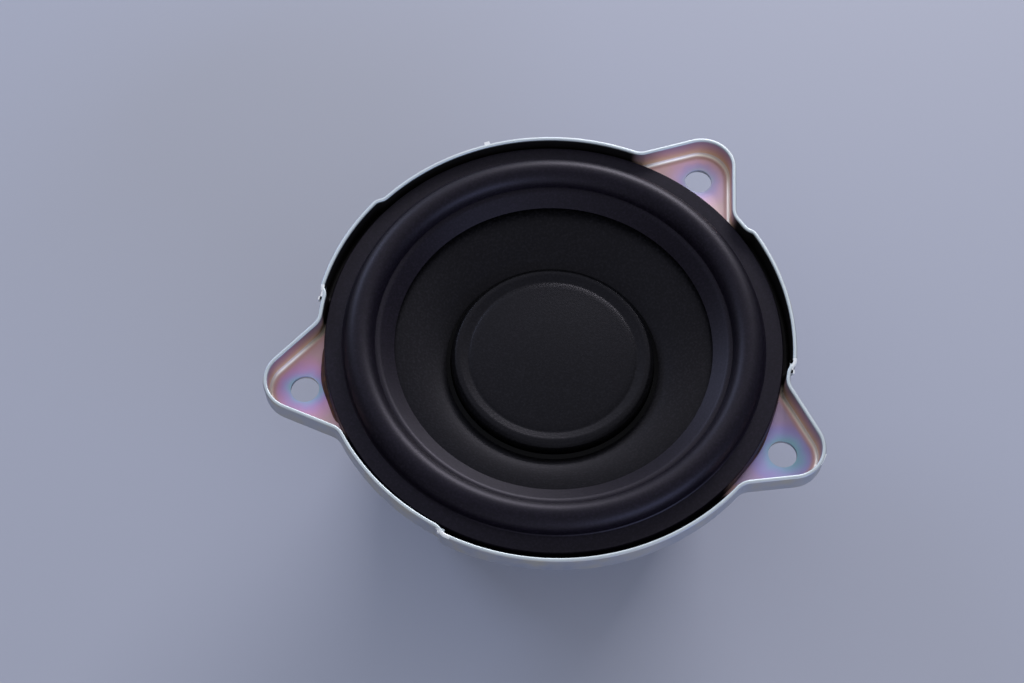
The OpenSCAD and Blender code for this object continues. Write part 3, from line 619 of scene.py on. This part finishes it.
# Brass tinned in a bath is bright and a little warm, and solder that flowed and set is brighter
# still, both with a patchy gloss
for name, colour, size, low, high, pieces in (
        ("tinned_brass", "c4c2ba", 1.2, 0.2, 0.42,
         ("terminal_tab_positive", "terminal_tab_negative", "tab_rivets")),
        ("tin_solder", "c9cacb", 0.6, 0.15, 0.35, ("terminal_solder", "lead_solder"))):
    bright_metal, tree, shader = finish_of(name, colour, Metallic=1)
    glossed(tree, shader, size, detail=3, low=low, high=high)
    dress(bright_metal, *pieces)


# Voice coil: two layers of enamelled copper wire on a former of polyimide film, with a collar of
# kraft paper over it, where the spider and the cone are glued on. Its wires end in two brass
# eyelets.

# The film is a clear glossy amber, the copper red brown under its enamel, the paper dull and
# brown, and the brass yellow, each slightly clouded
for name, low, high, gloss, metal, pieces in (
        ("polyimide_film", "b06a1e", "c9842e", 0.3, 0, ("coil_former",)),
        ("enamelled_copper", "8f4420", "b0602f", 0.3, 1, ("coil_winding", "coil_wires")),
        ("kraft_paper", "7d5a3a", "946e4a", 0.8, 0, ("coil_collar",)),
        ("brass", "b8933f", "cdaa58", 0.3, 1, ("lead_eyelets",))):
    coat = grained(name, size=0.8, detail=3, stops=((0, low), (1, high)), Roughness=gloss,
                   Metallic=metal)
    dress(coat, *pieces)


# Spider: plain woven cloth, dipped in phenolic resin and pressed hot into four corrugations. It
# is glued on the basket's ledge and on the coil's collar.
def turned(name, section, steps=240, closed=False):
    """Draws half a section, as radius and height, and spins it round the axis. An open one
    becomes a sheet whose faces look up."""
    piece = drawn(name, [(point.real, 0, point.imag) for point in section])
    if closed:
        bpy.ops.mesh.select_all(action="DESELECT")
        edit = bmesh.from_edit_mesh(piece.data)
        edit.verts.ensure_lookup_table()
        edit.verts[0].select = edit.verts[-1].select = True
        bpy.ops.mesh.edge_face_add()
    bpy.ops.mesh.select_all(action="SELECT")
    bpy.ops.mesh.spin(steps=steps, angle=tau, center=(0, 0, 0), axis=(0, 0, 1))
    bpy.ops.mesh.select_all(action="SELECT")
    bpy.ops.mesh.remove_doubles(threshold=0.001 * mm)
    bpy.ops.mesh.normals_make_consistent(inside=False)
    edit = bmesh.from_edit_mesh(piece.data)
    if not closed and sum(face.normal.z for face in edit.faces) < 0:
        bpy.ops.mesh.flip_normals()
    bpy.ops.object.mode_set(mode="OBJECT")
    bpy.ops.object.shade_smooth_by_angle(angle=radians(35))
    return piece


def bends(piece):
    """Bakes the piece's placement into its mesh."""
    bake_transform(piece)


spider_z, spider_in_r, spider_out_r, cuff_h, cloth_t = 24.02, 13.54, 30.2, 1, 0.35
wave_in_r, wave_out_r, wave_count, wave_h, wave_steps = 14.69, 25.2, 4, 0.8, 96
waves = [complex(wave_in_r + (wave_out_r - wave_in_r) * k / wave_steps,
                 spider_z + wave_h * sin(tau * wave_count * k / wave_steps))
         for k in range(wave_steps + 1)]
spider = turned("pressed_spider", [complex(spider_in_r, spider_z - cuff_h),
                                   complex(spider_in_r, spider_z)]
                + waves + [complex(spider_out_r, spider_z)])
finished(spider, "SOLIDIFY", thickness=cloth_t * mm, offset=1, use_even_offset=True)
# Woven threads 0.45 mm apart, both ways, in cured brown-yellow resin
thread_mm = 0.45
cloth, tree, shader = finish_of("resin_dipped_cloth", "b87f3a", Roughness=0.6)
place = add(tree, "TexCoord").outputs["Object"]
warp, weft = [add(tree, "TexWave", {"Vector": place, "Scale": tau / 20 / (thread_mm * mm)},
                  bands_direction=way) for way in "XY"]
weave = add(tree, "Math", {0: warp.outputs["Fac"], 1: weft.outputs["Fac"]}, operation="MULTIPLY")
tone = add(tree, "ValToRGB", {"Fac": weave.outputs[0]}, (
    (0, "7d4f1d"), (0.5, "b27a35"), (1, "cb9650")))
tree.links.new(tone.outputs[0], shader.inputs["Base Color"])
relief = add(tree, "Bump", {"Height": weave.outputs[0], "Strength": 0.6, "Distance": 0.1 * mm})
tree.links.new(relief.outputs[0], shader.inputs["Normal"])
spider.data.materials.append(cloth)
bends(spider)
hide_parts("spider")


# Cone: black paper pulp, felted and pressed to a straight flank. Its neck is glued on the coil,
# and its edge carries the surround.
neck_r, neck_z, neck_h, edge_r, edge_z, paper_t = 13.09, 25.2, 0.8, 35.95, 42.4, 0.6
cone_slope = (edge_z - neck_z) / (edge_r - neck_r)


def over_cone(radius, gap=0.0):
    """The height of a line that lies a gap above the cone's front, square to it."""
    return neck_z + (radius - neck_r) * cone_slope + gap * hypot(1, cone_slope)


cone = turned("paper_cone", [complex(edge_r, edge_z), complex(neck_r, neck_z),
                             complex(neck_r, neck_z - neck_h)])
finished(cone, "SOLIDIFY", thickness=paper_t * mm, offset=-1, use_even_offset=True)
# Paper pulp felted and pressed, dyed black in the pulp: a soft, faintly mottled black with a sheen
black_paper = grained("black_pressed_paper", size=0.5, detail=5,
                      stops=((0.35, "050507"), (0.5, "0a0a0c"), (0.68, "18171b")),
                      bump=0.5, depth=0.04, Roughness=0.37, Specular_IOR_Level=0.22,
                      Specular_Tint=linear("f4f1ff"))
cone.data.materials.append(black_paper)
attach(cone, "diaphragm")
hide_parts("cone")

# The bead of glue round the neck: cured amber, clear enough to glow brown where it is thin
amber = grained("amber_adhesive", size=1.6, detail=3,
                stops=((0.3, "1e0c05"), (0.5, "38190a"), (0.7, "552c12")),
                bump=0.3, depth=0.05, Roughness=0.3)
dress(amber, "neck_glue")


# Surround: butyl rubber, moulded in one with a thick rim, a half roll and a land that is glued on
# the cone. The rim is glued on the flange floor.
rim_r, rim_z, rim_w, roll_c, roll_r, rubber_t = 47, 43, 3.6, 39.95 + 42.95j, 3.35, 0.6
land_r, glue_t, crease_w, crease_h, crease_soft = 32.8, 0.12, 0.8, 0.3, 0.5
roll_start, roll_end, roll_step = 174, 4, 6
crease_r = roll_c.real - roll_r
land = softened([complex(land_r, over_cone(land_r, rubber_t + glue_t)),
                 complex(crease_r - crease_w, over_cone(crease_r - crease_w, rubber_t + glue_t)),
                 complex(crease_r, rim_z + crease_h)], crease_soft)
skin = (land + arc(roll_c, roll_r, roll_start, roll_end, roll_step)
        + [roll_c + polar(roll_r, roll_end)])
# The rim's section, from its inner top edge outwards and round its foot
rim_foot_z, rim_edge, rim_flare = floor_z + glue_t, 0.2, 0.25
rim = [complex(rim_r - rim_w + 0.1, rim_z), complex(rim_r - rim_edge, rim_z),
       complex(rim_r, rim_z - rim_edge), complex(rim_r + rim_flare, floor_z + 0.8),
       complex(rim_r - 0.4, rim_foot_z), complex(44.8, rim_foot_z), complex(44, floor_z + 0.6),
       complex(rim_r - rim_w - 0.3, rim_z - 1.1)]


def beside(line, gap):
    """The line moved to its left by the gap, square to it at every point."""
    moved = []
    for k, point in enumerate(line):
        a = unit(line[max(k, 1)] - line[max(k, 1) - 1]) * 1j
        b = unit(line[min(k, len(line) - 2) + 1] - line[min(k, len(line) - 2)]) * 1j
        moved.append(point + (a + b) * 2 * gap / abs(a + b) ** 2)
    return moved


surround = turned("rubber_surround", skin + rim + beside(skin, -rubber_t)[::-1], 288, closed=True)
# Butyl rubber from a lightly blasted mould: black with a breath of violet, and a satin sheen
rubber = grained("butyl_rubber", size=0.45, detail=4,
                 stops=((0.35, "0a080f"), (0.5, "0f0c15"), (0.68, "19151f")),
                 bump=0.35, depth=0.03, Roughness=0.43, Specular_IOR_Level=0.24,
                 Specular_Tint=linear("f2edff"))
surround.data.materials.append(rubber)
bends(surround)
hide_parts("surround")

# Rim adhesive: a thin film of amber contact adhesive between the rubber's rim and the floor,
# brushed on by hand, which has crept out in an uneven bead where the ears leave room for it.
film_in_r, film_out_r, film_t, film_z = 45, 46.9, 0.09, floor_z + 0.01
rim_adhesive = turned("brushed_rim_adhesive", [
    complex(film_in_r, film_z), complex(film_out_r, film_z),
    complex(film_out_r, film_z + film_t), complex(film_in_r, film_z + film_t)], 144, closed=True)
bead_in, bead_w, bead_h, bead_turn, bead_steps = 46.55, 1.7, 0.85, 11.4, 12
swell, swell_rate, swell_start, crept_less = 0.12, 0.45, 2, 0.6
beads = drawn("creeping_beads", [(bead_in + bead_w / 2 * (1 - cos(pi * k / bead_steps)), 0,
                                  film_z + bead_h * sin(pi * k / bead_steps))
                                 for k in range(bead_steps + 1)])
bpy.ops.mesh.select_all(action="SELECT")
bpy.ops.mesh.spin(steps=48, angle=radians(2 * bead_turn), center=(0, 0, 0), axis=(0, 0, -1))
bpy.ops.mesh.select_all(action="SELECT")
bpy.ops.transform.rotate(value=radians(bead_turn), orient_axis="Z", center_override=(0, 0, 0))
# The bead thins out to both ends and swells unevenly between them
for vertex in bmesh.from_edit_mesh(beads.data).verts:
    spot = complex(vertex.co.x, vertex.co.y)
    turn = heading(spot)
    full = sqrt(max(0, 1 - (turn / bead_turn) ** 4))
    full *= 1 - swell + swell * sin(turn * swell_rate + swell_start)
    spot *= (bead_in * mm + (abs(spot) - bead_in * mm) * full) / abs(spot)
    vertex.co = (spot.real, spot.imag, film_z * mm + (vertex.co.z - film_z * mm) * full)
bpy.ops.transform.rotate(value=-radians(ear_turns[0]), orient_axis="Z", center_override=(0, 0, 0))
bpy.ops.mesh.spin(steps=2, dupli=True, angle=radians(ear_turns[2] - ear_turns[0]),
                  center=(0, 0, 0), axis=(0, 0, -1))
# At the last ear less of it crept out
for vertex in bmesh.from_edit_mesh(beads.data).verts:
    spot = complex(vertex.co.x, vertex.co.y)
    if abs(near(heading(spot), ear_turns[2]) - ear_turns[2]) < 2 * bead_turn:
        spot *= (bead_in * mm + (abs(spot) - bead_in * mm) * crept_less) / abs(spot)
        vertex.co = (spot.real, spot.imag, vertex.co.z)
bpy.ops.mesh.select_all(action="SELECT")
bpy.ops.mesh.region_to_loop()
bpy.ops.mesh.edge_face_add()
bpy.ops.mesh.select_all(action="SELECT")
bpy.ops.mesh.remove_doubles(threshold=0.0005 * mm)
bpy.ops.mesh.normals_make_consistent(inside=False)
bpy.ops.object.mode_set(mode="OBJECT")
bpy.ops.object.shade_smooth_by_angle(angle=radians(50))
bpy.ops.object.select_all(action="DESELECT")
beads.select_set(True)
rim_adhesive.select_set(True)
bpy.context.view_layer.objects.active = rim_adhesive
bpy.ops.object.join()
rim_adhesive.data.materials.append(amber)
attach(rim_adhesive, "frame")
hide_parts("rim_adhesive")


# Braided leads: two tinned copper braids that carry the current from the blades to the eyelets on
# the cone. Both ends are soldered, and the slack between them flexes as the cone travels.
route = [(19.2, 4.6, 26.6), (20.5, 4.8, 26.2), (22.5, 5, 26.1), (24.5, 5.3, 26.5),
         (26.5, 5.5, 27.2), (28.5, 5.6, 27.7), (30.5, 5.5, 27.8), (32, 5.4, 27.4), (32.9, 5.3, 26.8)]
# Fine copper wires, tinned thinly and braided: a pale copper with a metal's sharp lights
braid = grained("tinned_copper_braid", size=0.5, detail=2,
                stops=((0.35, "a8714c"), (0.65, "c9b49c")), Roughness=0.34, Metallic=1)
lead_r, strand_count, strand_r, lay_mm, route_steps = 0.5, 6, 0.19, 4.2, 6
for side, name in ((1, "positive"), (-1, "negative")):
    path = [Vector((x, y * side, z)) for x, y, z in route]
    # Six steps between each two points, on a smooth curve through them
    line = []
    for k in range(len(path) - 1):
        before, here, there, after = (path[max(k - 1, 0)], path[k], path[k + 1],
                                      path[min(k + 2, len(path) - 1)])
        for step in range(route_steps):
            part = step / route_steps
            line.append(0.5 * (2 * here + (there - before) * part
                               + (2 * before - 5 * here + 4 * there - after) * part ** 2
                               + (3 * here - before - 3 * there + after) * part ** 3))
    line.append(path[-1])
    strands = []
    for strand in range(strand_count):
        run, points = 0, []
        for k, spot in enumerate(line):
            ahead = (line[min(k + 1, len(line) - 1)] - line[max(k - 1, 0)]).normalized()
            across = ahead.cross(Vector((0, 0, 1))).normalized()
            upward = across.cross(ahead)
            if k:
                run += (spot - line[k - 1]).length
            spin = tau * (run / lay_mm + strand / strand_count)
            points.append(spot + (across * cos(spin) + upward * sin(spin))
                          * (lead_r - strand_r))
        strands.append(drawn("braid_strand", points))
        bpy.ops.object.mode_set(mode="OBJECT")
    bpy.ops.object.select_all(action="DESELECT")
    for strand in strands:
        strand.select_set(True)
    bpy.ops.object.join()
    lead = bpy.context.object
    bpy.ops.object.convert(target="CURVE")
    lead.data.bevel_depth = strand_r * mm
    lead.data.bevel_resolution = 1
    lead.data.use_fill_caps = True
    bpy.ops.object.convert(target="MESH")
    lead.name = lead.data.name = "braided_lead_" + name
    bpy.ops.object.shade_smooth_by_angle(angle=radians(50))
    lead.data.materials.append(braid)
    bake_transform(lead)
    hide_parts("tinsel_lead_" + name)


# Dust cap: pressed black paper with a raised band round a low dome. Its skirt is glued on the
# cone, over the coil.
cap_r, cap_h, band_w, dome_h, cap_t, dome_steps = 21.25, 3.75, 4.2, 1, 0.5, 16
cap_z = over_cone(cap_r) + cap_h
dome_r, dome_z = cap_r - band_w, cap_z + 0.35
# Its section: the skirt, the raised band, the groove and the dome's edge, and then the dome
dome = [complex(dome_r * (1 - k / dome_steps), dome_z + dome_h * (1 - (1 - k / dome_steps) ** 2))
        for k in range(1, dome_steps + 1)]
cap = turned("paper_cap", softened([
    complex(cap_r + 0.1, over_cone(cap_r, 0.08)), complex(cap_r, cap_z - 0.3),
    complex(cap_r - 0.9, cap_z + 0.45), complex(cap_r - 1.8, cap_z + 0.55),
    complex(cap_r - 3.6, cap_z + 0.13), complex(dome_r, dome_z)], 0.29) + dome)
finished(cap, "SOLIDIFY", thickness=cap_t * mm, offset=-1, use_even_offset=True)
# The same paper pressed in an etched mould: a fine even grain, a little paler than the cone's
grained_paper = grained("black_grained_paper", size=0.45, detail=4,
                        stops=((0.35, "08080a"), (0.5, "0c0c0e"), (0.68, "151518")),
                        bump=0.6, depth=0.04, Roughness=0.32, Specular_IOR_Level=0.22,
                        Specular_Tint=linear("f4f1ff"))
cap.data.materials.append(grained_paper)
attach(cap, "diaphragm")
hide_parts("dust_cap")
dress(black_glue, "cap_glue")

# Sizes of the solids and of what is shown
size = {"cad": [list(corner) for corner in cad_box], "visual": [list(c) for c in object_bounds()]}
